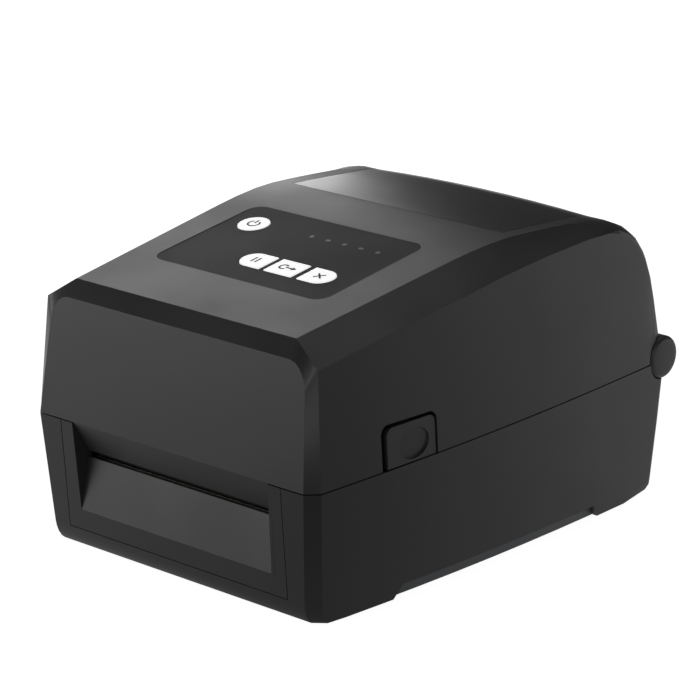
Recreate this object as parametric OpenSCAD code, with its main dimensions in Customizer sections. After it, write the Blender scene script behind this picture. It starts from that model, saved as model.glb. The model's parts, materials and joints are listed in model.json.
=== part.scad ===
// Desktop thermal-transfer label printer: lower housing, hinged cover, print
// mechanism and controls.  Millimetres, +Z up, front towards -Y.
// Inside the modules y is counted from the front face; place() centres it.

/* [Body] */
// overall length, front face to the back of the hinge caps
length = 260; // [240:1:290]
// half width of the body at the front corners
half_w = 89; // [80:0.5:100]
// height of the lower edge of the housing above the table
skirt_z = 3; // [2:0.5:6]
// height of the parting line at the front
seam_front = 66; // [60:0.5:75]
// rise of the parting line from front to back
seam_rise = 4.6; // [0:0.1:8]
// gap left along the parting line
seam_gap = 0.6; // [0.3:0.1:1.5]
// wall thickness of the lower housing
base_wall = 2.6; // [2:0.1:4]
// wall thickness of the cover
cover_wall = 2.8; // [2:0.1:4]
// how far the sides draw in from parting line to skirt
side_draft = 4.3; // [0:0.1:8]
// how far the front draws in from parting line to skirt
front_draft = 5.4; // [0:0.1:8]
// bevel at the two front upright corners
corner_bevel = 5.5; // [2:0.5:10]
// distance from the front face to the back face at the parting line
rear_y = 252; // [235:0.2:280]
// radius of the two rear upright corners
rear_r = 4; // [3:0.5:15]

/* [Hinge] */
// distance of the hinge axis from the front face
hinge_y = 249.5; // [235:0.5:280]
// height of the hinge axis
hinge_z = 72; // [65:0.5:80]
// radius of the round caps on the hinge ends
hinge_cap_r = 10.5; // [8:0.5:14]
// radius of the hinge rod
hinge_rod_r = 2.5; // [1.5:0.1:4]

/* [Label exit] */
// half width of the front bezel
bezel_w = 69.5; // [60:0.5:75]
// half width of the exit recess at its top
exit_top_w = 62.2; // [55:0.1:66]
// half width of the exit recess at its bottom
exit_low_w = 60.8; // [55:0.1:66]
// height of the slot floor
slot_z = 47.4; // [40:0.1:55]
// height of the slot
slot_h = 3.2; // [2:0.1:6]

/* [Print line] */
// distance of the platen axis from the front face
platen_y = 21.5; // [18:0.1:30]
// height of the platen axis
platen_z = 40.5; // [35:0.1:48]
// radius of the platen rubber
platen_r = 8.5; // [6:0.1:10]
// gear module
gear_m = 1; // [0.5:0.1:2]
// teeth on the platen gear
platen_teeth = 24; // [16:1:30]
// teeth on the idler gear
idler_teeth = 36; // [24:1:40]
// teeth on the motor pinion
pinion_teeth = 14; // [12:1:20]

/* [Media bay] */
// distance of the roll centre from the front face
roll_y = 165; // [150:1:175]
// height of the roll centre
roll_z = 76; // [70:1:80]
// radius of the trough the roll hangs in
roll_r = 64.6; // [50:0.1:66]
// half width of the media bay
bay_w = 66; // [55:0.5:70]
// height of the deck the media runs over
deck_z = 46; // [40:0.5:50]
// distance of the guide pinion from the front face
guide_y = 95; // [90:1:100]
// teeth on the guide pinion
guide_teeth = 16; // [12:1:20]

/* [Control panel] */
// slope of the front part of the top, in degrees
slope = 9.04; // [0:0.1:20]
// left edge of the panel
panel_x0 = -55.7; // [-60:0.1:-40]
// right edge of the panel
panel_x1 = 51; // [40:0.1:60]
// front edge of the panel, measured up the slope
panel_s0 = 35; // [20:0.5:50]
// rear edge of the panel, measured up the slope
panel_s1 = 106.5; // [90:0.5:115]
// clearance round each button
key_gap = 0.3; // [0.2:0.05:0.6]

/* [Window] */
// half width of the window
window_w = 66; // [50:0.5:68]
// front edge of the window
window_y0 = 151.5; // [140:0.5:170]
// rear edge of the window
window_y1 = 232; // [200:0.5:236]

/* [Hidden] */
$fn = 48;
slope_y = 11.3;
slope_z = 131;
draft_h = seam_front - skirt_z;
run_fit = 0.05;
idler_ang = -15;
pinion_ang = -10;
idler_d = gear_m * (platen_teeth + idler_teeth) / 2;
pinion_d = gear_m * (idler_teeth + pinion_teeth) / 2;
idler_y = platen_y + idler_d * cos(idler_ang);
idler_z = platen_z + idler_d * sin(idler_ang);
motor_y = idler_y + pinion_d * cos(pinion_ang);
motor_z = idler_z + pinion_d * sin(pinion_ang);
guide_r = gear_m * guide_teeth / 2;
boss_x = 66;
screw_at = [[72, 22], [70, 228]];

// ---------------------------------------------------------------- profiles
function seam(y) = seam_front + seam_rise * y / 235;
function bow(y) = half_w + 0.0606 * (y - 5.5) - 0.000294 * (y - 5.5) * (y - 5.5);
function clamp01(a) = min(1, max(0, a));

// top line of the cover, front to back
top_line = [[11.3, 131], [108, 146.38], [120, 148.1], [134.4, 149.5], [146, 149.9], [158, 149.6],
    [169, 149.1], [189, 148], [205, 147], [214, 145.3], [222, 142], [229, 137], [235, 130.2],
    [239.5, 121.6], [243, 110.5], [247, 96], [250, 84], [251.6, 76], [252, 72.4]];
function top_z(y) = lookup(y, top_line);
function top_x(y) = lookup(y, [[11.3, 68.9], [134.4, 74], [150, 74.2], [205, 74.8], [218, 75.8], [230, 77.4],
    [240, 78.4], [252, 79]]);
function low_x(y) = lookup(y, [[7.8, 84.8], [29, 86], [61, 87], [95, 88], [158, 88], [188, 87.2],
    [205, 86.5], [220, 85.9], [252, 84.8]]);
function low_z(y) = lookup(y, [[7.8, 120.5], [29, 124.1], [61, 129], [95, 133.6], [128, 138.3],
    [158, 141.3], [188, 142.8], [205, 142.4], [216, 139.8], [225, 133.8], [231, 127.4], [236, 118.6],
    [240.5, 106], [244, 92], [248, 74], [252, 58]]);

// one half section of the cover: parting line, lower bevel edge ... upper bevel edge
function half_ring(y, t) =
    let (yi = y - t * clamp01((y - 195) / 30), w = clamp01((y - 190) / 26), zs = seam(y) + seam_gap / 2,
        xh = top_x(y), zh = top_z(y), xl = low_x(y), zl = low_z(y),
        a0 = zl < zs ? asin(clamp01((zs - zl) / (zh - zl))) : 0)
    [for (k = [0:5])
        let (f = zl < zs ? k / 5 : (k - 1) / 4, a = a0 + (90 - a0) * f,
            x = (1 - w) * (xl + (xh - xl) * f) + w * (xh + (xl - xh) * cos(a)),
            z = (1 - w) * (zl + (zh - zl) * f) + w * (zl + (zh - zl) * sin(a)))
        k > 0 ? [x - t, yi, max(z - t, zs + 0.3 * k)]
            : [(zl < zs ? x : min(bow(y), xl + (y > 238 ? 1.5 : 9))) - t, yi, seam(yi) + seam_gap / 2]];

// the leaning front face, with its two rounded upper corners
face_lean = 0.1076;
function face_ring(t) = [for (p = [[83.5, seam_front + seam_gap / 2 + t], [80, 110],
    [78.8, 115.5], [76.2, 119.8], [73, 122.2], [69.5, 123]])
        [p[0] - t, t + face_lean * (p[1] - t - seam_front - seam_gap / 2), p[1] - t]];
function frame_ring(t) =
    [[half_w - t, corner_bevel + t, seam(corner_bevel + t) + seam_gap / 2],
     for (f = [0:0.25:1]) [84.8 - 15.9 * f - t, 7.8 + 3.5 * f + t, 120.5 + 10.5 * f - t]];
function mirrored(r) = concat(r, [for (i = [len(r) - 1:-1:0]) [-r[i][0], r[i][1], r[i][2]]]);
cover_at = [25, 40, 60, 80, 95, 108, 120, 128, 134.4, 146, 158, 169, 180, 189, 197, 205, 214, 222, 229,
    235, 239.5, 243, 247, 250, 251.6];
function cover_rings(t) = concat([mirrored(face_ring(t)), mirrored(frame_ring(t))],
    [for (y = cover_at) mirrored(half_ring(y, t))]);

// plan of the lower housing at height z, moved in by t
function turn_under(z) = z < 13 ? 6 * (1 - sqrt(max(0, 1 - pow((13 - z) / 10.5, 2)))) : 0;
function turn_rear(z) = z < 8 ? 5 * (1 - sqrt(max(0, 1 - pow((8 - z) / 5.4, 2)))) : 0;
function plan(z, t) =
    let (d = clamp01((seam_front - z) / draft_h), s = side_draft * d + t, f = front_draft * d,
        u = turn_under(z), v = turn_rear(z), ry = rear_y - 3.5 * d - v - t, rx = bow(243) - s - v * 0.8,
        r = rear_r - t)
    concat([[83.5 - s, f + u + t], [half_w - s, corner_bevel + f + u * 0.8 + t]],
        [for (y = [25:25:225]) [bow(y) - s, y]],
        [for (a = [0:18:90]) [rx - r + r * cos(a), ry - r + r * sin(a)]]);
function full_plan(z, t) = let (p = plan(z, t)) concat(p, [for (i = [len(p) - 1:-1:0]) [-p[i][0], p[i][1]]]);
function base_rings(t) = concat(
    [for (z = [skirt_z, 4.5, 7, 10, 13, 40]) [for (p = full_plan(z, t)) [p[0], p[1], z]]],
    [[for (p = full_plan(seam_front, t)) [p[0], p[1], seam(p[1]) - seam_gap / 2]]]);
function flipped(faces) = [for (f = faces) [f[0], f[2], f[1]]];
// triangles between rings o and q of n points; wrap closes the last strip
function band(o, q, n, wrap) = [for (j = [0:n - (wrap ? 1 : 2)]) let (k = (j + 1) % n)
    for (f = [[o + j, o + k, q + k], [o + j, q + k, q + j]]) f];
function end_cap(o, n) = [for (j = [0:n / 2 - 2])
    for (f = [[o + j, o + n - 1 - j, o + n - 2 - j], [o + j, o + n - 2 - j, o + j + 1]])
        if (f[1] != f[2]) f];
function joined(lists) = [for (l = lists) for (f = l) f];

// tube: outer rings going up, inner rings inside them, joined at both rims
module tube(outer, inner) {
    n = len(outer[0]);
    m = len(outer);
    s = m * n;
    polyhedron([for (r = concat(outer, inner)) for (p = r) p], flipped(joined([
        joined([for (i = [0:m - 2]) band(i * n, (i + 1) * n, n, true)]),
        flipped(joined([for (i = [0:m - 2]) band(s + i * n, s + (i + 1) * n, n, true)])),
        flipped(band(0, s, n, true)), band((m - 1) * n, s + (m - 1) * n, n, true)])), convexity = 8);
}
// hood: the same, but closed at front, top and back and open below
module hood(outer, inner) {
    n = len(outer[0]);
    m = len(outer);
    s = m * n;
    skin = joined([for (i = [0:m - 2]) band(i * n, (i + 1) * n, n, false)]);
    lining = joined([for (i = [0:m - 2]) band(s + i * n, s + (i + 1) * n, n, false)]);
    last = (m - 1) * n;
    rim = joined([for (i = [0:m - 2]) let (a = i * n, b = a + n, c = s + a, d = s + b)
        [[a, b, d], [a, d, c], [b + n - 1, a + n - 1, d + n - 1], [a + n - 1, c + n - 1, d + n - 1]]]);
    front = [[n - 1, 0, s], [n - 1, s, s + n - 1]];
    back = [[last, last + n - 1, s + last + n - 1], [last, s + last + n - 1, s + last]];
    polyhedron([for (r = concat(outer, inner)) for (p = r) p], flipped(joined([
        flipped(skin), lining, flipped(end_cap(0, n)), end_cap(last, n),
        end_cap(s, n), flipped(end_cap(s + last, n)), flipped(rim), flipped(front), flipped(back)])),
        convexity = 8);
}

// ---------------------------------------------------------------- helpers
module place() translate([0, -length / 2, 0]) children();
// drawn in (y, z), pushed along x
module along_x(x0, x1) translate([x0, 0, 0]) rotate([90, 0, 90]) linear_extrude(x1 - x0) children();
// drawn in (x, z), pushed along y
module along_y(y0, y1) translate([0, y1, 0]) rotate([90, 0, 0]) linear_extrude(y1 - y0) children();
module rod_x(x0, x1, y, z, r) translate([x0, y, z]) rotate([0, 90, 0]) cylinder(h = x1 - x0, r = r);
module box(a, b) translate(a) cube(b - a);
module both() {
    children();
    mirror([1, 0, 0]) children();
}
module on_slope() translate([0, slope_y, slope_z]) rotate([slope, 0, 0]) children();
module round_rect(x0, y0, x1, y1, r) {
    translate([x0 + r, y0]) square([x1 - x0 - 2 * r, y1 - y0]);
    translate([x0, y0 + r]) square([x1 - x0, y1 - y0 - 2 * r]);
    for (x = [x0 + r, x1 - r]) for (y = [y0 + r, y1 - r]) translate([x, y]) circle(r);
}
// involute outline, one tooth centred on angle zero
function inv_deg(a) = tan(a) * 180 / PI - a;
function tooth_half(r, rp, rb, n) =
    90 / n - 2.2 / rp + inv_deg(25) - inv_deg(acos(min(1, rb / max(r, rb))));
module gear_2d(n, bore) {
    rp = gear_m * n / 2;
    rb = rp * cos(25);
    ra = rp + 0.85 * gear_m;
    rr = rp - 1.15 * gear_m;
    rs = [rr, max(rb, rr + 0.1), (max(rb, rr) + rp) / 2, rp, (rp + ra) / 2, ra];
    difference() {
        polygon([for (i = [0:n - 1]) for (k = [0:11])
            let (r = k < 6 ? rs[k] : rs[11 - k], h = tooth_half(r, rp, rb, n),
                a = 360 * i / n + (k < 6 ? -h : h))
            [r * cos(a), r * sin(a)]]);
        circle(bore);
    }
}

// ---------------------------------------------------------------- lower body
module lower_housing() color("#1c1c1e") place() {
    difference() {
        tube(base_rings(0), base_rings(base_wall));
        box([-bezel_w - 0.4, -2, 12.6], [bezel_w + 0.4, 10, 80]);
        // finger gaps in the side skirts
        along_x(-100, 100) polygon([[52, 0], [61, 9], [199, 9], [204.5, 0]]);
        box([-61, 236, 9], [61, 262, 35]);
        rod_x(-65.5, 65.5, hinge_y, hinge_z, 5.2);
        both() rod_x(79.4, 100, hinge_y, hinge_z, hinge_cap_r + 0.5);
        rod_x(-81, 81, hinge_y, hinge_z, hinge_rod_r);
    }
    // hinge lugs
    both() difference() {
        union() {
            rod_x(66, 76.5, hinge_y, hinge_z, 5.6);
            box([66, 243, 58], [76.5, 250.6, 69.6]);
        }
        rod_x(60, 80, hinge_y, hinge_z, hinge_rod_r);
    }
    // screw bosses with a rib to the wall
    both() for (p = screw_at) difference() {
        union() {
            translate([p[0], p[1], 8]) cylinder(h = 16, r = 4);
            box([p[0], p[1] - 1, 10], [p[0] == 72 ? 85 : 82.4, p[1] + 1, 24]);
        }
        translate([p[0], p[1], 7]) cylinder(h = 16, r = 1.5);
    }
}
module bottom_pan() color("#141415") place() difference() {
    union() {
        translate([0, 0, 5.6]) linear_extrude(2.4) round_rect(-77.5, 14, 77.5, 243.2, 10);
        both() box([75.5, 48, 7], [77.5, 208, 11.2]);
        // dark wall just inside the finger gaps
        both() box([76, 48, 9.8], [83, 208, 11.2]);
        intersection() {
            translate([0, 0, skirt_z + 0.2]) linear_extrude(9) difference() {
                polygon(full_plan(skirt_z, base_wall + 0.15));
                polygon(full_plan(skirt_z, base_wall + 1.95));
            }
            both() box([70, 48, 0], [95, 208, 20]);
        }
        for (x = [-55, 55]) for (y = [212, 236]) translate([x, y, 7]) cylinder(h = 4, r = 3);
    }
    both() for (p = screw_at) translate([p[0], p[1], 0]) cylinder(h = 20, r = 1.8);
}
module rubber_feet() color("#2a2a2a") place()
    both() for (y = [32, 218]) translate([58, y, 0]) cylinder(h = 5.6, r = 9);
module housing_screws() color("#9a9a9c") place() both() for (p = screw_at) {
    translate([p[0], p[1], 3.6]) cylinder(h = 2, r = 3.2);
    translate([p[0], p[1], 5]) cylinder(h = 15, r = 1.4);
}
module exit_outline(gap) polygon([[-exit_low_w + gap, 23], [exit_low_w - gap, 23],
    [exit_top_w - gap, 67], [exit_top_w - gap, 80], [-exit_top_w + gap, 80], [-exit_top_w + gap, 67]]);
module front_bezel() color("#222224") place() {
    difference() {
        along_x(-bezel_w, bezel_w) polygon([[4.55, 13], [0.05, 65.7], [2.65, 65.7], [7.15, 13]]);
        along_y(-2, 12) exit_outline(0);
    }
    // ramp below the slot
    along_x(-exit_low_w - 0.4, exit_low_w + 0.4)
        polygon([[3.69, 23], [9.3, slot_z], [11.8, slot_z], [6.4, 22]]);
    // inward side walls of the recess
    intersection() {
        along_x(-bezel_w, bezel_w) polygon([[3.69, 22], [0.05, 65.7], [11.8, 65.7], [11.8, 22]]);
        both() along_y(0, 12)
            polygon([[exit_low_w, 22], [exit_top_w, 66], [exit_top_w + 1.8, 66], [exit_low_w + 1.8, 22]]);
    }
}
module media_tray() color("#303234") place() difference() {
    union() {
        // trough and its end walls
        difference() {
            intersection() {
                rod_x(-bay_w - 2, bay_w + 2, roll_y, roll_z, roll_r + 1.7);
                box([-80, 90, 0], [80, 240, 62]);
            }
            rod_x(-bay_w, bay_w, roll_y, roll_z, roll_r);
            box([-bay_w, 90, deck_z], [bay_w, 125, 80]);
        }
        box([-bay_w - 2, 36, deck_z - 1.8], [bay_w + 2, 108.6, deck_z]);
        both() box([bay_w, 36, deck_z - 1.8], [bay_w + 2, 112, 62]);
        // rim that closes the space round the bay
        translate([0, 0, 60]) linear_extrude(2) difference() {
            polygon(full_plan(60, base_wall + 0.6));
            translate([-bay_w, 0]) square([2 * bay_w, 229]);
            translate([-100, 0]) square([200, 12]);
            translate([-100, 240]) square([200, 20]);
        }
        // posts for the sensor rail and the stub the guide pinion turns on
        both() box([34, 66, 34], [37, 74, deck_z - 1]);
        translate([0, guide_y, 38]) cylinder(h = 7, r = 3);
    }
    both() box([78.5, 44, 50], [95, 83, 70]);
    box([-64.5, 81.8, 40], [-12, 86, 50]);
    box([12, 104, 40], [64.5, 107.6, 50]);
    box([-28, 68, 40], [28, 72, 50]);
    rod_x(-40, 40, 70, 38, 2);
}
module platen_frame() color("#a8abae") place() difference() {
    union() {
        both() box([62.8, 12.4, 24], [64.4, 34, 58]);
        box([-64.4, 12.4, 24], [64.4, 34, 25.6]);
    }
    rod_x(-70, 70, platen_y, platen_z, 5);
}
module platen_bushings() color("#d8d6cc") place() both() difference() {
    union() {
        rod_x(61.6, 64.4, platen_y, platen_z, 5);
        rod_x(61.6, 62.6, platen_y, platen_z, 6);
    }
    rod_x(60, 70, platen_y, platen_z, 3 + run_fit);
}
module platen_shaft() color("#c4c6c8") place() rod_x(-77.5, 66, platen_y, platen_z, 3);
module platen_rubber() color("#3a3a3c") place() difference() {
    rod_x(-57, 57, platen_y, platen_z, platen_r);
    rod_x(-60, 60, platen_y, platen_z, 3);
}
module platen_gear() color("#e2e0d6") place() translate([0, platen_y, platen_z])
    along_x(-76, -71) rotate(idler_ang) gear_2d(platen_teeth, 3);
module idler_gear() color("#e2e0d6") place() translate([0, idler_y, idler_z])
    along_x(-76, -71) rotate(idler_ang + 180 + 180 / idler_teeth) gear_2d(idler_teeth, 3 + run_fit);
module idler_axle() color("#c4c6c8") place() {
    rod_x(-77.4, -67.7, idler_y, idler_z, 3);
    rod_x(-78.4, -76.4, idler_y, idler_z, 4.4);
}
module gear_bracket() color("#a8abae") place() difference() {
    union() {
        along_x(-69.2, -67.7) round_rect(38, 8, 92, 43.6, 3);
        box([-69.2, 40, 8], [-54, 90, 9.6]);
    }
    rod_x(-75, -60, motor_y, motor_z, 5.2);
    rod_x(-72, -66, idler_y, idler_z, 3);
}
module drive_motor() color("#8c8e90") place() difference() {
    union() {
        rod_x(-67.7, -43, motor_y, motor_z, 12.5);
        rod_x(-70.2, -67, motor_y, motor_z, 5);
        rod_x(-43, -41, motor_y, motor_z, 6);
    }
    rod_x(-75, -48, motor_y, motor_z, 2 + run_fit);
}
module motor_pinion() color("#c9a659") place() {
    phase = (pinion_ang - (idler_ang + 180 + 180 / idler_teeth)) * idler_teeth / pinion_teeth;
    translate([0, motor_y, motor_z]) along_x(-76, -71)
        rotate(pinion_ang + 180 + phase + 180 / pinion_teeth) gear_2d(pinion_teeth, 1.9);
    rod_x(-77, -50, motor_y, motor_z, 2);
}
module tear_bar() color("#c4c6c8") place()
    along_x(-59, 59) polygon([[12.2, 43.4], [11.95, 47.3], [12.6, 47.3], [13.0, 43.4]]);
module main_board() color("#1f5a3a") place() {
    box([-62, 206, 11], [62, 240.6, 12.6]);
    box([-30, 212, 12.6], [-12, 224, 14.8]);
    box([20, 210, 12.6], [34, 222, 14.6]);
    for (x = [-52, -42, 46]) translate([x, 216, 12.6]) cylinder(h = 9, r = 3.5);
}
module dc_inlet() color("#18181a") place() {
    difference() {
        box([42, 230, 12.6], [54, 246, 24]);
        translate([48, 250, 18.4]) rotate([90, 0, 0]) cylinder(h = 14, r = 3.4);
    }
    translate([48, 244, 18.4]) rotate([90, 0, 0]) cylinder(h = 9, r = 1);
}
module usb_port() color("#b0b2b5") place() difference() {
    box([20, 229, 12.6], [32, 246, 24]);
    box([21.2, 238, 14], [30.8, 250, 22.6]);
}
module network_port() color("#b0b2b5") place() difference() {
    box([-8, 228, 12.6], [8.4, 246, 27]);
    box([-6, 236, 15], [6.4, 250, 24.6]);
}
module serial_port() color("#b0b2b5") place() {
    box([-50, 232, 12.6], [-18, 240.6, 25]);
    difference() {
        along_y(240, 246) polygon([[-44, 14.4], [-24, 14.4], [-22, 23.4], [-46, 23.4]]);
        along_y(241.5, 250) polygon([[-43, 15.4], [-25, 15.4], [-23.4, 22.4], [-44.6, 22.4]]);
    }
}
module rear_port_panel() color("#26282a") place() difference() {
    box([-64, 241.4, 8], [64, 243.2, 37]);
    box([41.7, 240, 12.3], [54.3, 245, 24.3]);
    box([19.7, 240, 12.3], [32.3, 245, 24.3]);
    box([-8.3, 240, 12.3], [8.7, 245, 27.3]);
    along_y(240, 245) polygon([[-44.4, 14], [-23.6, 14], [-21.5, 23.8], [-46.5, 23.8]]);
}

// ---------------------------------------------------------------- hinge and latches
module hinge_rod() color("#c4c6c8") place() rod_x(-80, 80, hinge_y, hinge_z, hinge_rod_r);
module hinge_caps() color("#1c1c1e") place() both() translate([0, hinge_y, hinge_z]) rotate([0, 90, 0])
    rotate_extrude() polygon([[0, 80], [5.2, 80], [5.2, 79.8], [hinge_cap_r, 79.8],
        [hinge_cap_r, 85.6], [hinge_cap_r - 0.4, 86.5], [hinge_cap_r - 1.6, 87.3],
        [hinge_cap_r - 4, 87.6], [0, 87.8]]);
module latch() {
    difference() {
        intersection() {
            along_y(46, 78) polygon([[85, 66.2], [91.4, 66.2], [90.1, 86], [85, 86]]);
            along_x(80, 95) union() {
                round_rect(46, 67.5, 78, 86, 4);
                translate([46, 67.5]) square([32, 8]);
            }
        }
        // oval thumb dimple
        translate([89.9, 63.5, 75.7]) rotate([90, 0, 90]) linear_extrude(5) scale([1, 0.7]) circle(10);
    }
    box([83, 54, 44], [85.8, 72, 84]);
    box([83, 60, 80], [85.6, 66, 96]);
    box([83, 65.5, 93], [85.6, 68.4, 96]);
}
module latch_left() color("#202022") place() mirror([1, 0, 0]) latch();
module latch_right() color("#202022") place() latch();

// ---------------------------------------------------------------- media handling
module holder() {
    along_x(60.2, 63.4) difference() {
        union() {
            polygon([[84, 46.4], [107, 46.4], [112, 50], [153, 60], [178, 66], [178, 86], [170, 90],
                [158, 90], [149, 84], [108, 62], [98, 60], [84, 60]]);
            translate([roll_y, roll_z]) circle(15);
        }
    }
    rod_x(53, 61, roll_y, roll_z, 4);
}
module hub() translate([0, roll_y, roll_z]) rotate([0, 90, 0])
    rotate_extrude() polygon([[4.05, 52], [11, 52], [12.4, 54], [12.4, 57.4],
        [19, 58.4], [19, 60], [4.05, 60]]);
module roll_holder_right() color("#3a3d40") place() holder();
module roll_holder_left() color("#3a3d40") place() mirror([1, 0, 0]) holder();
module roll_hub_right() color("#c98a2c") place() hub();
module roll_hub_left() color("#c98a2c") place() mirror([1, 0, 0]) hub();
module guide_wall() box([58.4, 50, 46.3], [60.1, 104, 57]);
module media_guide_left() color("#c98a2c") place() {
    mirror([1, 0, 0]) guide_wall();
    box([-63, 82.4, 43.8], [-58.4, 85.4, 46.4]);
}
module media_guide_right() color("#c98a2c") place() {
    box([58.4, 50, 46.3], [60.1, 107, 57]);
    box([58.4, 104.4, 43.8], [63, 107.2, 46.4]);
}
// straight rack lying along x, teeth towards +y, pitch line on y = 0
module rack(x0, x1) linear_extrude(3.8) {
    translate([x0, -3.6]) square([x1 - x0, 2.45]);
    for (x = [ceil(x0 / PI) * PI : PI : x1 - 1])
        polygon([[x - 1.35, -1.2], [x - 0.78, 0], [x - 0.36, 0.85],
            [x + 0.36, 0.85], [x + 0.78, 0], [x + 1.35, -1.2]]);
}
module rack_left() color("#8c8e90") place() translate([0, guide_y - guide_r, 40]) rack(-63, 8);
module rack_right() color("#8c8e90") place()
    translate([0, guide_y + guide_r, 40]) rotate(180) rack(-63, 8);
// a gap must face each rack
module guide_pinion() color("#e2e0d6") place() translate([0, guide_y, 40])
    linear_extrude(3.8) rotate(-90 + 180 / guide_teeth) gear_2d(guide_teeth, 3 + run_fit);
module sensor_rail() color("#c4c6c8") place() rod_x(-37, 37, 70, 38, 2);
module media_sensor() color("#101012") place() difference() {
    union() {
        box([-6, 66, 34], [6, 74, 43.8]);
        box([-5, 68.3, 43], [5, 71.7, 46.2]);
    }
    rod_x(-10, 10, 70, 38, 2 + run_fit);
}

// ---------------------------------------------------------------- cover
module latch_notch() along_x(78, 100) union() {
    round_rect(43, 60, 78.7, 87.7, 4.5);
    translate([43, 55]) square([35.7, 20]);
}
module top_cover() color("#1e1e20") place() {
    difference() {
        hood(cover_rings(0), cover_rings(cover_wall));
        both() latch_notch();
        box([-window_w - 0.3, window_y0 - 0.3, 112], [window_w + 0.3, window_y1 + 0.3, 160]);
        both() rod_x(65, 79.5, hinge_y, hinge_z, 6.2);
        both() rod_x(79.3, 100, hinge_y, hinge_z, hinge_cap_r + 0.5);
        on_slope() {
            translate([0, 0, -1.65]) linear_extrude(6)
                round_rect(panel_x0 - 0.15, panel_s0 - 0.15, panel_x1 + 0.15, panel_s1 + 0.15, 7.15);
            translate([-50, 42, -8]) cube([96, 58, 12]);
        }
        rod_x(-81, 81, hinge_y, hinge_z, 3);
    }
    // lip that runs down to the label slot
    intersection() {
        along_x(-70, 70) polygon([[0.05, seam_front + 0.4], [3.2, 69.5], [12, 53.2],
            [12, slot_z + slot_h], [9.2, slot_z + slot_h]]);
        along_y(-2, 20) exit_outline(0.4);
    }
    // hinge barrel
    difference() {
        rod_x(-64.6, 64.6, hinge_y, hinge_z, 4.6);
        rod_x(-70, 70, hinge_y, hinge_z, hinge_rod_r + run_fit);
    }
    // carriage bosses and posts for the key board
    both() {
        translate([boss_x, 30, 121]) cylinder(h = 11.5, r = 3.5);
        translate([boss_x, 95, 130]) cylinder(h = 12.6, r = 3.5);
    }
    on_slope() for (x = [panel_x0 + 2.9, panel_x1 - 2.7]) for (s = [39, 103])
        translate([x, s, -5.4]) cylinder(h = 3.2, r = 1.5);
}
module catch_plates() color("#a8abae") place() both() box([83, 69, 88], [86.9, 76, 90.6]);
// the window follows the top line and is crowned across the middle
function crown(y) = lookup(y, [[151.5, 0], [165, 1], [185, 2.1], [205, 2.1], [215, 1.9], [226, 1.1],
    [232, 0]]);
window_at = [window_y0, 158, 165, 175, 185, 195, 205, 214, 222, 227, window_y1];
window_x = [for (i = [-4:4]) window_w * i / 4];
function pane_row(y, t) = [for (x = window_x)
    [x, y, top_z(y + t * clamp01((y - 195) / 30)) + crown(y) * (1 - pow(x / window_w, 2)) - t]];
module window() color("#101012", 0.6) place() {
    n = len(window_x);
    m = len(window_at);
    s = m * n;
    rows = concat([for (y = window_at) pane_row(y, 0)], [for (y = window_at) pane_row(y, cover_wall)]);
    polyhedron([for (r = rows) for (p = r) p], flipped(joined([
        joined([for (i = [0:m - 2]) band(i * n, (i + 1) * n, n, false)]),
        flipped(joined([for (i = [0:m - 2]) band(s + i * n, s + (i + 1) * n, n, false)])),
        band(s, 0, n, false), flipped(band(s + (m - 1) * n, (m - 1) * n, n, false)),
        joined([for (i = [0:m - 2]) let (a = i * n, b = a + n, c = s + a, d = s + b, e = n - 1)
            [[d, c, a], [d, a, b], [c + e, d + e, b + e], [c + e, b + e, a + e]]])])),
        convexity = 4);
}
module pause_2d(g) {
    translate([-9.5, 56]) circle(7 + g);
    translate([-9.5, 49 - g]) square([9 + g, 14 + 2 * g]);
}
module feed_2d(g) translate([2.5 - g, 49 - g]) square([17 + 2 * g, 14 + 2 * g]);
module cancel_2d(g) {
    translate([32, 56]) circle(7 + g);
    translate([23 - g, 49 - g]) square([9 + g, 14 + 2 * g]);
}
module power_2d(g) translate([-40.5, 88]) circle(7.75 + g);
module lights_2d(g) for (i = [0:4]) translate([-4.8 + 10.2 * i, 89.6]) circle(1.2 + g);
module control_panel() color("#141416") place() on_slope() translate([0, 0, -1.65]) linear_extrude(1.5)
    difference() {
        round_rect(panel_x0, panel_s0, panel_x1, panel_s1, 7);
        power_2d(key_gap);
        pause_2d(key_gap);
        feed_2d(key_gap);
        cancel_2d(key_gap);
        lights_2d(0.05);
    }
module power_button() color("#e8e8e6") place() on_slope() {
    translate([0, 0, -3.4]) linear_extrude(3.55) power_2d(0);
    translate([0, 0, -3.6]) linear_extrude(1.3) power_2d(1);
}
module pause_button() color("#e8e8e6") place() on_slope() {
    translate([0, 0, -3.4]) linear_extrude(3.55) pause_2d(0);
    translate([0, 0, -3.6]) linear_extrude(1.3) pause_2d(0.8);
}
module feed_button() color("#e8e8e6") place() on_slope() {
    translate([0, 0, -3.4]) linear_extrude(3.55) feed_2d(0);
    translate([0, 0, -3.6]) linear_extrude(1.3) feed_2d(0.8);
}
module cancel_button() color("#e8e8e6") place() on_slope() {
    translate([0, 0, -3.4]) linear_extrude(3.55) cancel_2d(0);
    translate([0, 0, -3.6]) linear_extrude(1.3) cancel_2d(0.8);
}
module status_lights() color("#c8ccd0") place() on_slope()
    translate([0, 0, -5.4]) linear_extrude(5.25) lights_2d(0);
module panel_board() color("#1f5a3a") place() on_slope() translate([-54, 37.5, -7])
    cube([103.5, 67, 1.6]);

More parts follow.
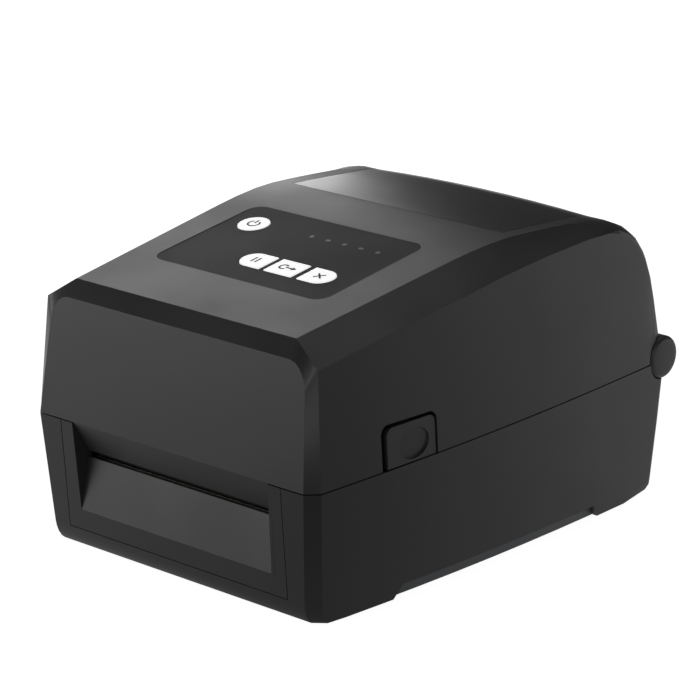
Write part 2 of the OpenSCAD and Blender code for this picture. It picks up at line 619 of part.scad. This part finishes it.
// ---------------------------------------------------------------- head and ribbon
module head_carriage() color("#3a3d40") place() difference() {
    union() {
        both() along_x(60.8, 62.4) polygon([[38, 57], [52, 57], [54, 64], [98, 64], [102, 80],
            [102, 130], [90, 130], [36, 121], [24, 121], [24, 112], [38, 104]]);
        box([-70, 24, 118.4], [70, 36, 121]);
        box([-70, 90, 127.4], [70, 100, 130]);
        box([-62.4, 52, 64], [62.4, 55, 68]);
    }
    both() for (y = [30, 95]) translate([boss_x, y, 100]) cylinder(h = 40, r = 1.6);
    rod_x(-70, 70, 85, 106, 4 + run_fit);
    rod_x(-70, 70, 40, 99, 4 + run_fit);
    rod_x(-70, 70, 46, 61, 2);
}
module carriage_screws() color("#9a9a9c") place() both() {
    translate([boss_x, 30, 116.8]) cylinder(h = 1.6, r = 3);
    translate([boss_x, 30, 117]) cylinder(h = 4, r = 1.4);
    translate([boss_x, 95, 125.8]) cylinder(h = 1.6, r = 3);
    translate([boss_x, 95, 126]) cylinder(h = 4, r = 1.4);
}
module head_pivot_pins() color("#c4c6c8") place() both() rod_x(57.6, 63.2, 46, 61, 2);
module head_bracket() color("#a8abae") place() difference() {
    union() {
        box([-59.8, 14.5, 51.5], [59.8, 49, 53]);
        both() along_x(58.2, 59.8) polygon([[40, 51.5], [50, 51.5], [50, 65], [42, 65]]);
    }
    rod_x(-70, 70, 46, 61, 2 + run_fit);
}
module print_head() color("#d8cfb8") place() {
    box([-56, 15.5, 49.3], [56, 30, 51.5]);
    box([-30, 31, 49.6], [30, 36, 51.5]);
}
module heat_sink() color("#b4b7ba") place() {
    box([-54, 16, 53], [54, 42, 55.5]);
    for (y = [16, 20.8, 25.6, 30.4, 35.2, 40]) box([-54, y, 55], [54, y + 2, 61]);
}
module head_leaf_spring() color("#c4c6c8") place() along_x(-30, 30)
    polygon([[52, 66.4], [52, 67], [38, 66.2], [24, 64.4], [24, 63.8], [38, 65.6]]);
module spindle(y, z) {
    rod_x(-57, 57, y, z, 6);
    rod_x(-62.3, 62.3, y, z, 4);
    rod_x(-58.6, -57, y, z, 13);
    for (a = [0, 120, 240]) translate([0, y, z]) rotate([a, 0, 0]) box([-50, -0.9, 5], [50, 0.9, 7.4]);
}
module ribbon_supply_spindle() color("#c98a2c") place() spindle(85, 106);
module ribbon_takeup_spindle() color("#c98a2c") place() {
    spindle(40, 99);
    rod_x(-68, -62, 40, 99, 3);
}
module takeup_gear() color("#e2e0d6") place() translate([0, 40, 99]) along_x(-67, -63) gear_2d(26, 3);

lower_housing();
bottom_pan();
rubber_feet();
housing_screws();
front_bezel();
media_tray();
platen_frame();
platen_bushings();
platen_shaft();
platen_rubber();
platen_gear();
idler_gear();
idler_axle();
gear_bracket();
drive_motor();
motor_pinion();
tear_bar();
main_board();
dc_inlet();
usb_port();
network_port();
serial_port();
rear_port_panel();
hinge_rod();
hinge_caps();
roll_holder_left();
roll_holder_right();
roll_hub_left();
roll_hub_right();
media_guide_left();
media_guide_right();
rack_left();
rack_right();
guide_pinion();
sensor_rail();
media_sensor();
latch_left();
latch_right();
top_cover();
catch_plates();
window();
control_panel();
power_button();
pause_button();
feed_button();
cancel_button();
status_lights();
panel_board();
head_carriage();
carriage_screws();
head_pivot_pins();
head_bracket();
print_head();
heat_sink();
head_leaf_spring();
ribbon_supply_spindle();
ribbon_takeup_spindle();
takeup_gear();
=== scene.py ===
import json
from math import cos, radians, sin, sqrt

import bmesh
import bpy
from mathutils import Matrix, Vector


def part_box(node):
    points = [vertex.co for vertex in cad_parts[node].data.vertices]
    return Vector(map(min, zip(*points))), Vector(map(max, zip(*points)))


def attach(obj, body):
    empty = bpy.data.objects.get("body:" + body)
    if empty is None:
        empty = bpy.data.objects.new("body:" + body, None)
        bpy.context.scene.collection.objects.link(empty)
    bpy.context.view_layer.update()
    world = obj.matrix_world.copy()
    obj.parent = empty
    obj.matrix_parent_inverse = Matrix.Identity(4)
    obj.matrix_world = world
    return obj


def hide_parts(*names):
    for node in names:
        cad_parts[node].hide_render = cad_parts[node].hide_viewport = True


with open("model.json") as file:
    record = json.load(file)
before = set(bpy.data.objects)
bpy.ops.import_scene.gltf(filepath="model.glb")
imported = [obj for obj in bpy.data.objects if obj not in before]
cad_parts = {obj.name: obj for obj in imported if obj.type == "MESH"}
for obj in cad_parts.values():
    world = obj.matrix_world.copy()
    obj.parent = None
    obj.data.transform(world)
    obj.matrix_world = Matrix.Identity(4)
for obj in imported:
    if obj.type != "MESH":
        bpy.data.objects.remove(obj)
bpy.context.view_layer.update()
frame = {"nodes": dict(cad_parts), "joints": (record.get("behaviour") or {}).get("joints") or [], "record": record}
mm = 0.001
bodies = frame["record"]["behaviour"]["bodies"]
bodyOf = {node: body for body, nodes in bodies.items() for node in nodes}
slotOf = {part["node"]: part["material_slot"] for part in frame["record"]["subparts"]}
print("frame loaded")


camera = {
    "azimuth": 43.0,     # degrees round from the front towards the right
    "elevation": 17.66,
    "distance": 1.5627,
    "target": (0.0, -0.030, 0.078),
    "lens": 172.5,
    "sensor": 36,
    "shift": (0.0431, 0.0385),
    "reach": 20,
}


def addCamera():
    turn, tilt = radians(camera["azimuth"]), radians(camera["elevation"])
    away = Vector((sin(turn) * cos(tilt), -cos(turn) * cos(tilt), sin(tilt)))
    data = bpy.data.cameras.new("camera")
    data.lens = camera["lens"]
    data.sensor_width = camera["sensor"]
    data.shift_x, data.shift_y = camera["shift"]
    data.clip_end = camera["reach"]
    data.dof.use_dof = False
    eye = bpy.data.objects.new("camera", data)
    eye.location = Vector(camera["target"]) + away * camera["distance"]
    eye.rotation_euler = away.to_track_quat("Z", "Y").to_euler()
    bpy.context.scene.collection.objects.link(eye)
    bpy.context.scene.camera = eye


addCamera()
print("camera set")


def newMaterial(name, colour, roughness, metallic=0.0, shine=0.5):
    material = bpy.data.materials.new(name)
    material.use_nodes = True
    shader = material.node_tree.nodes["Principled BSDF"]
    shader.inputs["Specular IOR Level"].default_value = shine
    shader.inputs["Base Color"].default_value = (*colour, 1)
    shader.inputs["Roughness"].default_value = roughness
    shader.inputs["Metallic"].default_value = metallic
    return material, material.node_tree, shader


def objectNoise(tree, scale, detail=2.0, stretch=(1, 1, 1)):
    place = tree.nodes.new("ShaderNodeTexCoord")
    mapping = tree.nodes.new("ShaderNodeMapping")
    mapping.inputs["Scale"].default_value = stretch
    noise = tree.nodes.new("ShaderNodeTexNoise")
    noise.inputs["Scale"].default_value = scale
    noise.inputs["Detail"].default_value = detail
    tree.links.new(place.outputs["Object"], mapping.inputs["Vector"])
    tree.links.new(mapping.outputs["Vector"], noise.inputs["Vector"])
    return noise.outputs["Fac"]


noiseSpan = (0.3, 0.7)       # the part of the noise that is used


def spread(tree, value, low, high):
    ramp = tree.nodes.new("ShaderNodeMapRange")
    ramp.inputs["From Min"].default_value, ramp.inputs["From Max"].default_value = noiseSpan
    ramp.inputs["To Min"].default_value = low
    ramp.inputs["To Max"].default_value = high
    tree.links.new(value, ramp.inputs["Value"])
    return ramp.outputs["Result"]


def addBump(tree, shader, value, strength, depth):
    bump = tree.nodes.new("ShaderNodeBump")
    bump.inputs["Strength"].default_value = strength
    bump.inputs["Distance"].default_value = depth
    tree.links.new(value, bump.inputs["Height"])
    tree.links.new(bump.outputs["Normal"], shader.inputs["Normal"])


def tint(tree, shader, value, dark, light):
    ramp = tree.nodes.new("ShaderNodeValToRGB")
    for stop, position, colour in zip(ramp.color_ramp.elements, noiseSpan, (dark, light)):
        stop.position = position
        stop.color = (*colour, 1)
    tree.links.new(value, ramp.inputs["Fac"])
    tree.links.new(ramp.outputs["Color"], shader.inputs["Base Color"])


moulding = {
    "grainScale": 2600,      # the spark-eroded grain of the tool
    "flowScale": 22,         # slow change across the moulding
    "grainDepth": 0.03 * mm,
    "tint": (0.93, 1.07),
}
metalwork = {
    "lineScale": 60,
    "lineDepth": 0.03 * mm,
    "lineStrength": 0.12,
    "roughness": (-0.08, 0.1),
    "darker": 0.9,
}


def mouldedPlastic(name, colour, roughness=0.5, grain=0.25, varied=0.04, shine=0.5):
    material, tree, shader = newMaterial(name, colour, roughness, 0.0, shine)
    sparks = objectNoise(tree, moulding["grainScale"], 1)
    flow = objectNoise(tree, moulding["flowScale"], 3)
    addBump(tree, shader, sparks, grain, moulding["grainDepth"])
    patchy = spread(tree, flow, roughness - varied, roughness + varied)
    tree.links.new(patchy, shader.inputs["Roughness"])
    tint(tree, shader, flow, *([c * share for c in colour] for share in moulding["tint"]))
    return material


def brushedMetal(name, colour, roughness=0.3, along=(1, 40, 40)):
    material, tree, shader = newMaterial(name, colour, roughness, 1.0)
    lines = objectNoise(tree, metalwork["lineScale"], 3, along)
    streaks = spread(tree, lines, *(roughness + change for change in metalwork["roughness"]))
    tree.links.new(streaks, shader.inputs["Roughness"])
    addBump(tree, shader, lines, metalwork["lineStrength"], metalwork["lineDepth"])
    tint(tree, shader, lines, [c * metalwork["darker"] for c in colour], colour)
    return material


def smokedPlastic(name):
    material, tree, shader = newMaterial(name, (0.006, 0.006, 0.0065), 0.3)
    haze = objectNoise(tree, 30, 3)
    tree.links.new(spread(tree, haze, 0.28, 0.31), shader.inputs["Roughness"])
    return material


def keyPlastic(name, colour, glow):
    material = mouldedPlastic(name, colour, 0.4, 0.06, 0.03)
    shader = material.node_tree.nodes["Principled BSDF"]
    shader.inputs["Emission Color"].default_value = (1, 1, 1, 1)
    shader.inputs["Emission Strength"].default_value = glow      # painted light: the keys glow white, though they hold no lamp
    return material


def circuitBoard(name):
    material, tree, shader = newMaterial(name, (0.015, 0.09, 0.04), 0.4)
    tracks = objectNoise(tree, 420, 0, (1, 0.25, 1))
    tint(tree, shader, tracks, (0.01, 0.07, 0.03), (0.03, 0.15, 0.07))
    return material


finishes = {             # one for each material slot of the record, and two inks
    "housing": mouldedPlastic("housingBlack", (0.021, 0.021, 0.0215), 0.42, 0.3, 0.04, 0.4),
    "inner": mouldedPlastic("innerGrey", (0.06, 0.063, 0.067), 0.55),
    "bezel": mouldedPlastic("bezelBlack", (0.021, 0.021, 0.0215), 0.45, 0.3, 0.04, 0.4),
    "smoked": smokedPlastic("smokedWindow"),
    "panel": mouldedPlastic("panelFilm", (0.012, 0.012, 0.0125), 0.55, 0.06, 0.03, 0.12),
    # the white keys carry painted light: a glow added to their own white
    "white": keyPlastic("keyWhiteGlowing", (0.85, 0.85, 0.84), 0.62),
    "amber": mouldedPlastic("guideAmber", (0.6, 0.3, 0.05), 0.45),
    "natural": mouldedPlastic("acetal", (0.75, 0.73, 0.66), 0.4, 0.1),
    "steel": brushedMetal("platedSteel", (0.6, 0.61, 0.62)),
    "aluminium": brushedMetal("extrudedAluminium", (0.75, 0.76, 0.77), 0.35),
    "rubber": mouldedPlastic("platenRubber", (0.02, 0.02, 0.02), 0.8, 0.4),
    "board": circuitBoard("circuitBoard"),
    "port_metal": brushedMetal("tinnedShell", (0.65, 0.65, 0.66), 0.28, (20, 20, 1)),
    "brass": brushedMetal("turnedBrass", (0.75, 0.55, 0.25), 0.28, (40, 1, 1)),
    "ceramic": mouldedPlastic("glazedCeramic", (0.7, 0.66, 0.55), 0.2, 0.05, 0.03),
    "light": mouldedPlastic("lightPipe", (0.03, 0.031, 0.033), 0.3, 0.05, 0.03),
    "ink": mouldedPlastic("darkInk", (0.012, 0.012, 0.013), 0.6, 0.05, 0.03),
    "paleInk": mouldedPlastic("paleInk", (0.2, 0.2, 0.205), 0.6, 0.05, 0.03),
}
print("materials made")


edgeEase = {
    "angle": 22,             # edges turning less than this stay smooth
    "rings": 3,
    "plain": 0.35 * mm,
    "lower_housing": 0.8 * mm,
    "top_cover": 0.8 * mm,
    "front_bezel": 0.4 * mm,
    "hinge_caps": 0.6 * mm,
    "latch_left": 1.1 * mm,
    "latch_right": 1.1 * mm,
    "rubber_feet": 0.8 * mm,
    "window": 0.2 * mm,
    "control_panel": 0.15 * mm,
    "status_lights": 0.1 * mm,
    "main_board": 0.15 * mm,
    "rack_left": 0.08 * mm,
    "rack_right": 0.08 * mm,
    "platen_gear": 0.08 * mm,
    "idler_gear": 0.08 * mm,
    "motor_pinion": 0.08 * mm,
    "guide_pinion": 0.08 * mm,
    "takeup_gear": 0.08 * mm,
    "tear_bar": 0.05 * mm,
    "head_leaf_spring": 0.1 * mm,
    "platen_frame": 0.2 * mm,
    "gear_bracket": 0.2 * mm,
}
mending = {              # how the loose triangles of a part are put back together
    "merge": 0.002 * mm,
    "flat": 0.3,             # degrees
    "pairTurn": 12,
    "pairShape": 70,
    "flatWeight": 80,        # how firmly large flat faces keep their own direction
}


frontCorner = {          # the twisted bevels on each side of the cover's front face
    "behind": -118.5 * mm,
    "above": 60 * mm,
    "beyond": 60 * mm,
    "facing": 0.5,           # how far a face has to look forwards
    "long": 30 * mm,
    "longCuts": 10,
    "shortCuts": 2,
}


def frontFace(work):
    return max((f for f in work.faces if f.normal.y < -0.9), key=lambda f: f.calc_area())


def sideStep(edge):
    return abs(edge.verts[0].co.x + edge.verts[1].co.x)


def easeCorners(work):
    forwards = [f for f in work.faces if f.normal.y < -frontCorner["facing"]]
    strip = [f for f in forwards if len(f.verts) == 3 and all(
        v.co.y < frontCorner["behind"] and v.co.z > frontCorner["above"] for v in f.verts)]
    inside = [e for e in work.edges if len(e.link_faces) == 2 and all(f in strip for f in e.link_faces)]
    crossed = []
    for side in (-1, 1):
        lines = [e for e in inside if side * e.verts[0].co.x > 0]
        lines.sort(key=sideStep, reverse=True)
        crossed += lines[::2]        # every second line crosses a panel from corner to corner
    spots = {v for f in strip for v in f.verts}
    bmesh.ops.dissolve_edges(work, edges=crossed, use_verts=False)

    rim = set(frontFace(work).verts)
    panels = [f for f in work.faces if len(f.verts) == 4 and f.normal.y < -frontCorner["facing"]
              and all(v in spots for v in f.verts) and any(v not in rim for v in f.verts)
              and abs(f.calc_center_median().x) > frontCorner["beyond"]]
    rails = list(dict.fromkeys(e for f in panels for e in f.edges
                               if (e.verts[0] in rim) == (e.verts[1] in rim)))
    lengthy = [e for e in rails if e.calc_length() > frontCorner["long"]]
    brief = [e for e in rails if e.calc_length() <= frontCorner["long"]]
    for edges, cuts in ((lengthy, "longCuts"), (brief, "shortCuts")):
        bmesh.ops.subdivide_edges(work, edges=edges, cuts=frontCorner[cuts], use_grid_fill=True)
    work.normal_update()

    weight = work.edges.layers.float.new("bevel_weight_edge")
    front = frontFace(work)
    for edge in work.edges:
        turned = edge.calc_face_angle(0) > radians(edgeEase["angle"])
        edge[weight] = 1.0 if turned or front in edge.link_faces else 0.0


def addPiece(name, work, finish):
    mesh = bpy.data.meshes.new(name)
    work.to_mesh(mesh)
    work.free()
    mesh.materials.clear()
    mesh.materials.append(finish)
    piece = bpy.data.objects.new(name, mesh)
    bpy.context.scene.collection.objects.link(piece)
    return piece


def dressPart(node):
    work = bmesh.new()
    work.from_mesh(frame["nodes"][node].data)
    bmesh.ops.remove_doubles(work, verts=work.verts, dist=mending["merge"])
    bmesh.ops.dissolve_limit(work, angle_limit=radians(mending["flat"]), verts=work.verts, edges=work.edges)
    bmesh.ops.join_triangles(work, faces=[f for f in work.faces if len(f.verts) == 3],
                             angle_face_threshold=radians(mending["pairTurn"]),
                             angle_shape_threshold=radians(mending["pairShape"]))
    if node == "top_cover":
        easeCorners(work)
    piece = addPiece(node + "_look", work, finishes[slotOf[node]])
    ease = piece.modifiers.new("ease", "BEVEL")
    ease.width = edgeEase.get(node, edgeEase["plain"])
    ease.segments = edgeEase["rings"]
    ease.limit_method = "WEIGHT" if node == "top_cover" else "ANGLE"
    ease.angle_limit = radians(edgeEase["angle"])
    ease.use_clamp_overlap = True
    flow = piece.modifiers.new("flow", "WEIGHTED_NORMAL")
    flow.weight = mending["flatWeight"]
    for face in piece.data.polygons:
        face.use_smooth = True
    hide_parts(node)
    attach(piece, bodyOf[node])


for node in frame["nodes"]:
    dressPart(node)
print("parts dressed:", len(frame["nodes"]))


keyMarks = {
    "ink": 0.05 * mm,        # how far the print stands above the key
    "flatness": 0.02 * mm,   # what counts as the top of a key
    "lensWidth": 2.4 * mm,
    "arcSteps": 20,
    "stroke": 0.95 * mm,
    "arm": 2.9 * mm,         # half the size of a mark
}
press = next(joint for joint in frame["joints"] if joint["name"] == "power_press")
outward = -Vector(press["axis"]).normalized()        # straight out of the key panel


def topOf(node):
    spots = [v.co for v in frame["nodes"][node].data.vertices]
    level = max(spot.dot(outward) for spot in spots)
    cap = [spot for spot in spots if level - spot.dot(outward) < keyMarks["flatness"]]
    across = Vector((1, 0, 0))
    along = outward.cross(across)
    middle = Vector()
    for axis in (across, along):
        reach = [spot.dot(axis) for spot in cap]
        middle += axis * (min(reach) + max(reach)) / 2
    place = Matrix((across, along, outward)).transposed().to_4x4()
    place.translation = middle + outward * level
    return place


def turnBy(work, verts, degrees, axis="Z"):
    bmesh.ops.rotate(work, verts=verts, matrix=Matrix.Rotation(radians(degrees), 3, axis))


def addBar(work, x, y, length, width, turn=0):
    corners = bmesh.ops.create_cube(work, size=1)["verts"]
    bmesh.ops.scale(work, verts=corners, vec=(length, width, keyMarks["ink"] * 2))
    turnBy(work, corners, turn)
    bmesh.ops.translate(work, verts=corners, vec=(x, y, 0))


def addHead(work, x, y, radius, turn=0):
    corners = bmesh.ops.create_cone(work, segments=3, radius1=radius, radius2=radius, cap_ends=True,
                                    depth=keyMarks["ink"] * 2)["verts"]
    turnBy(work, corners, turn)
    bmesh.ops.translate(work, verts=corners, vec=(x, y, 0))


def addArc(work, x, y, radius, start, sweep, width):
    corners = bmesh.ops.create_circle(work, segments=4, radius=1 / sqrt(2), cap_ends=True)["verts"]
    turnBy(work, corners, 45)
    bmesh.ops.scale(work, verts=corners, vec=(width, keyMarks["ink"] * 2, 1))
    turnBy(work, corners, 90, "X")       # a unit square made the stroke's cross section
    bmesh.ops.translate(work, verts=corners, vec=(radius, 0, 0))
    turnBy(work, corners, start)
    bmesh.ops.translate(work, verts=corners, vec=(x, y, 0))
    face = corners[0].link_faces[0]
    bmesh.ops.spin(work, geom=[face, *face.edges, *face.verts], cent=(x, y, 0), axis=(0, 0, 1),
                   angle=radians(sweep), steps=keyMarks["arcSteps"])
    bmesh.ops.holes_fill(work, edges=[e for e in work.edges if e.is_boundary], sides=4)


def printMark(name, place, draw, body, finish):
    work = bmesh.new()
    draw(work)
    bmesh.ops.recalc_face_normals(work, faces=work.faces)
    bmesh.ops.transform(work, matrix=place, verts=work.verts)
    piece = addPiece(name, work, finishes[finish])
    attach(piece, body)


def drawPower(work):
    arm, stroke = keyMarks["arm"], keyMarks["stroke"]
    addArc(work, 0, 0, arm, 125, 290, stroke)
    addBar(work, 0, arm * 0.75, stroke, arm * 1.2)


def drawPause(work):
    arm, stroke = keyMarks["arm"], keyMarks["stroke"]
    for side in (-1, 1):
        addBar(work, side * arm * 0.42, 0, stroke, arm * 1.7)


def drawFeed(work):
    arm, stroke = keyMarks["arm"], keyMarks["stroke"]
    addArc(work, -arm * 0.7, 0, arm * 0.72, 40, 280, stroke)
    addBar(work, arm * 0.5, 0, arm * 1.5, stroke)
    addHead(work, arm * 1.35, 0, arm * 0.62, -90)


def drawCancel(work):
    arm, stroke = keyMarks["arm"], keyMarks["stroke"]
    for turn in (45, -45):
        addBar(work, 0, 0, arm * 2.1, stroke, turn)


def drawSignal(kind):
    def draw(work):
        arm, line = keyMarks["arm"] * 0.42, keyMarks["stroke"] * 0.4
        if kind == 0:        # power on
            addBar(work, 0, 0, line * 1.6, arm * 2)
        elif kind == 1:      # connected
            for side in (-1, 1):
                addBar(work, side * arm * 0.6, 0, arm * 0.9, arm * 1.1)
            addBar(work, 0, 0, arm, line)
        elif kind == 2:      # media
            addBar(work, 0, 0, arm * 2.1, line * 1.4, 40)
        elif kind == 3:      # ribbon
            for side in (-1, 1):
                addArc(work, side * arm * 0.6, 0, arm * 0.45, 0, 359, line)
        else:                # attention
            addArc(work, 0, 0, arm * 0.8, 0, 359, line)
            addBar(work, 0, 0, line, arm)
    return draw


keyDrawings = {"power": drawPower, "pause": drawPause, "feed": drawFeed, "cancel": drawCancel}
for key, draw in keyDrawings.items():
    printMark(key + "_mark", topOf(key + "_button"), draw, key + "_key", "ink")
lensRow = topOf("status_lights")
lensLow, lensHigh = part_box("status_lights")
lensStep = (lensHigh[0] - lensLow[0] - keyMarks["lensWidth"]) / 4
for kind in range(5):
    place = lensRow @ Matrix.Translation(((kind - 2) * lensStep, 0, 0))
    printMark("signal_mark_%d" % (kind + 1), place, drawSignal(kind), bodyOf["status_lights"],
              "paleInk")
print("marks printed")


studio = {
    "floorSize": 6.0,
    "floorColour": (0.34, 0.34, 0.34),
    "paper": 0.96,               # how white the paper looks to the eye
    "bounce": (0.02, 0.85),      # painted light and shadow: glow the paper gives to reflections, dark at the front right, bright at the rear left
    "bounceFrom": (-0.24, 0.2),
    "room": 0.08,                # how bright the room is for the object
    "shade": (0.15, 0.22),       # painted shadow: a dark sheet on the paper under the feet
    "shadeHeight": 0.1 * mm,
    "aim": (0, 0, 0.08),         # where the lamps point
}
lamps = {                # place, size, power
    "sideSoftbox": ((-0.66, 0.42, 0.55), (0.4, 0.5), 0.98),
    "frontSoftbox": ((-1.0, -1.2, 0.24), (1.3, 0.3), 7.2),
    "rearCard": ((1.35, 1.5, 0.2), (1.2, 0.6), 3.7),
    "windowCard": ((-0.96, 0.70, 0.28), (0.45, 0.4), 1.8),
    "lowCard": ((0.42, -1.15, 0.16), (0.45, 0.3), 2.0),
    "rightCard": ((1.7, -0.15, 0.4), (0.8, 0.6), 2.6),
    "overhead": ((0.1, 0.9, 2.1), (1.0, 1.0), 4.0),
}


def seenOnly(tree, dim, bright):
    ray = tree.nodes.new("ShaderNodeLightPath")      # white for the eye, dim for the light that bounces
    level = tree.nodes.new("ShaderNodeMapRange")
    level.inputs["To Min"].default_value = dim
    level.inputs["To Max"].default_value = bright
    tree.links.new(ray.outputs["Is Camera Ray"], level.inputs["Value"])
    return level.outputs["Result"]


def addSheet(name, size, height, material):
    work = bmesh.new()
    bmesh.ops.create_grid(work, x_segments=1, y_segments=1, size=0.5)
    bmesh.ops.scale(work, verts=work.verts, vec=(size[0], size[1], 1))
    bmesh.ops.translate(work, verts=work.verts, vec=(0, 0, height))
    addPiece(name, work, material)


def addFloor():
    material, tree, shader = newMaterial("floorPaper", studio["floorColour"], 0.95, 0.0, 0.0)
    place = tree.nodes.new("ShaderNodeTexCoord")
    # painted light and shadow: away from the eye the paper glows dim at the front right and bright at the rear
    # left
    slant = tree.nodes.new("ShaderNodeVectorMath")
    slant.operation = "DOT_PRODUCT"
    slant.inputs[1].default_value = (-0.707, 0.707, 0)
    fade = tree.nodes.new("ShaderNodeMapRange")
    for end, near, far in zip(("Min", "Max"), studio["bounceFrom"], studio["bounce"]):
        fade.inputs["From " + end].default_value = near
        fade.inputs["To " + end].default_value = far
    tree.links.new(place.outputs["Object"], slant.inputs[0])
    tree.links.new(slant.outputs["Value"], fade.inputs["Value"])
    shader.inputs["Emission Color"].default_value = (1, 1, 1, 1)
    level = seenOnly(tree, 0.0, studio["paper"])
    tree.links.new(fade.outputs["Result"], level.node.inputs["To Min"])
    tree.links.new(level, shader.inputs["Emission Strength"])
    addSheet("floor", (studio["floorSize"], studio["floorSize"]), 0, material)
    # painted shadow: a dark sheet just above the paper, under the object, where it shades the floor
    dark, _, _ = newMaterial("floorShade", (0.02, 0.02, 0.02), 1.0, 0.0, 0.0)
    addSheet("floor_shade", studio["shade"], studio["shadeHeight"], dark)


def addLamp(name, place, size, power):
    data = bpy.data.lights.new(name, "AREA")
    data.shape = "RECTANGLE"
    data.size, data.size_y = size
    data.energy = power
    lamp = bpy.data.objects.new(name, data)
    lamp.location = place
    lamp.rotation_euler = (Vector(place) - Vector(studio["aim"])).to_track_quat("Z", "Y").to_euler()
    lamp.visible_camera = False
    bpy.context.scene.collection.objects.link(lamp)


addFloor()
world = bpy.data.worlds.new("world")
world.use_nodes = True
backdrop = world.node_tree.nodes["Background"]
backdrop.inputs["Color"].default_value = (1, 1, 1, 1)
roomLevel = seenOnly(world.node_tree, studio["room"], 1.0)
world.node_tree.links.new(roomLevel, backdrop.inputs["Strength"])
bpy.context.scene.world = world
bpy.context.scene.view_settings.view_transform = "Standard"
for name, (place, size, power) in lamps.items():
    addLamp(name, place, size, power)
print("studio lit")
